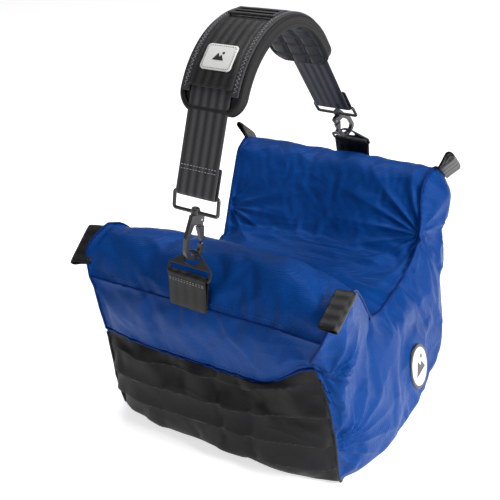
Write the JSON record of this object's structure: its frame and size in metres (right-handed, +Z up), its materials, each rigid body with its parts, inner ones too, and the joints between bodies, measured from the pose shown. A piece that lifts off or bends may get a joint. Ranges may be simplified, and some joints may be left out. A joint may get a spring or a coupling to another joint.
{
  "type": "camera support saddle bag",
  "caption": "Bean-filled saddle-shaped camera support bag with corner webbing loops and a padded shoulder strap clipped to it by swivel snap hooks.",
  "frame": {"origin": "middle of the flat underside of the bag, on the surface it stands on", "axes": "+X to the side that carries the round badge, +Y to the back lobe, +Z up; the saddle valley runs along X"},
  "size_m": [0.3572, 0.4145, 0.4951],
  "materials": {
    "blue_nylon": "coated woven nylon, slight sheen",
    "black_nylon": "coated woven nylon",
    "liner_cloth": "thin woven lining",
    "beads": "expanded polystyrene beads as one mass",
    "badge_print": "moulded badge with dark border",
    "black_webbing": "ribbed flat webbing",
    "strap_webbing": "satin webbing with lengthwise stripes",
    "black_metal": "black enamel over die casting",
    "steel": "bare steel",
    "zip_plastic": "nylon coil",
    "foam": "foam cushion in knitted cover",
    "grip_rubber": "moulded cells",
    "mesh_tape": "bumpy spacer mesh",
    "label_cloth": "woven label",
    "slider_plastic": "moulded plastic"
  },
  "bodies": {
    "bag": {"base_panel": "black_nylon", "front_lower_panel": "black_nylon", "front_band": "blue_nylon", "back_lower_panel": "black_nylon", "back_band": "blue_nylon", "top_panel": "blue_nylon", "left_side_panel": "blue_nylon", "right_side_panel": "blue_nylon", "inner_liner": "liner_cloth", "bead_fill": "beads", "side_badge": "badge_print", "fill_zip_tape": "black_webbing", "fill_zip_teeth": "zip_plastic", "front_left_loop": "black_webbing", "front_right_loop": "black_webbing", "back_left_loop": "black_webbing", "back_right_loop": "black_webbing", "front_ring_tab": "black_webbing", "back_ring_tab": "black_webbing"},
    "zip_slider": {"fill_zip_slider": "black_metal"},
    "zip_pull": {"fill_zip_pull": "black_metal"},
    "front_ring": {"front_ring": "black_metal"},
    "back_ring": {"back_ring": "black_metal"},
    "strap": {"strap_webbing": "strap_webbing", "front_strap_loop": "black_metal", "back_strap_loop": "black_metal", "strap_slider": "slider_plastic"},
    "shoulder_pad": {"pad_core": "foam", "pad_grip": "grip_rubber", "pad_binding": "black_webbing", "pad_front_sleeve": "strap_webbing", "pad_back_sleeve": "strap_webbing", "pad_left_edge_tape": "mesh_tape", "pad_right_edge_tape": "mesh_tape", "pad_label": "label_cloth"},
    "front_hook": {"front_hook_body": "black_metal", "front_gate_pin": "steel", "front_gate_spring": "steel", "front_swivel_stud": "black_metal"},
    "front_gate": {"front_hook_gate": "black_metal"},
    "back_hook": {"back_hook_body": "black_metal", "back_gate_pin": "steel", "back_gate_spring": "steel", "back_swivel_stud": "black_metal"},
    "back_gate": {"back_hook_gate": "black_metal"}
  },
  "joints": [
    {"name": "zip_slide", "type": "slide", "parent": "bag", "child": "zip_slider", "axis": [1, 0, 0], "range_m": [-0.18, 0]},
    {"name": "zip_pull_flip", "type": "hinge", "parent": "zip_slider", "child": "zip_pull", "pos_m": [0.092, 0.19129, 0.0772], "axis": [1, 0, 0], "range_deg": [0, 100]},
    {"name": "strap_swing", "type": "hinge", "parent": "bag", "child": "strap", "pos_m": [-0.01376, -0.18617, 0.26811], "axis": [0.0523, 0.9973, 0.0521], "range_deg": [-20, 20]},
    {"name": "pad_slide_round", "type": "hinge", "parent": "strap", "child": "shoulder_pad", "pos_m": [-0.00615, -0.04094, 0.385], "axis": [0.9986, -0.0523, 0], "range_deg": [-3, 2]},
    {"name": "front_ring_tilt", "type": "hinge", "parent": "bag", "child": "front_ring", "pos_m": [-0.01431, -0.19676, 0.25115], "axis": [0.9986, -0.0523, 0], "range_deg": [0, 4]},
    {"name": "front_hook_swivel", "type": "hinge", "parent": "strap", "child": "front_hook", "pos_m": [-0.01372, -0.18557, 0.27074], "axis": [0.0118, 0.2246, 0.9744], "range_deg": [-2, 14]},
    {"name": "front_gate_hinge", "type": "hinge", "parent": "front_hook", "child": "front_gate", "pos_m": [-0.01142, -0.17014, 0.30667], "axis": [-0.9662, 0.2535, -0.0468], "range_deg": [0, 15], "stiffness_Nm_per_rad": 0.02, "springref_deg": -17.19},
    {"name": "back_ring_tilt", "type": "hinge", "parent": "bag", "child": "back_ring", "pos_m": [0.00593, 0.18943, 0.27132], "axis": [0.9986, -0.0523, 0], "range_deg": [-4, 2]},
    {"name": "back_hook_swivel", "type": "hinge", "parent": "strap", "child": "back_hook", "pos_m": [0.00519, 0.17536, 0.28912], "axis": [-0.0343, -0.6552, 0.7547], "range_deg": [-2, 12]},
    {"name": "back_gate_hinge", "type": "hinge", "parent": "back_hook", "child": "back_gate", "pos_m": [0.00068, 0.14533, 0.31386], "axis": [0.8962, -0.3544, -0.2668], "range_deg": [0, 15], "stiffness_Nm_per_rad": 0.02, "springref_deg": -17.19}
  ]
}
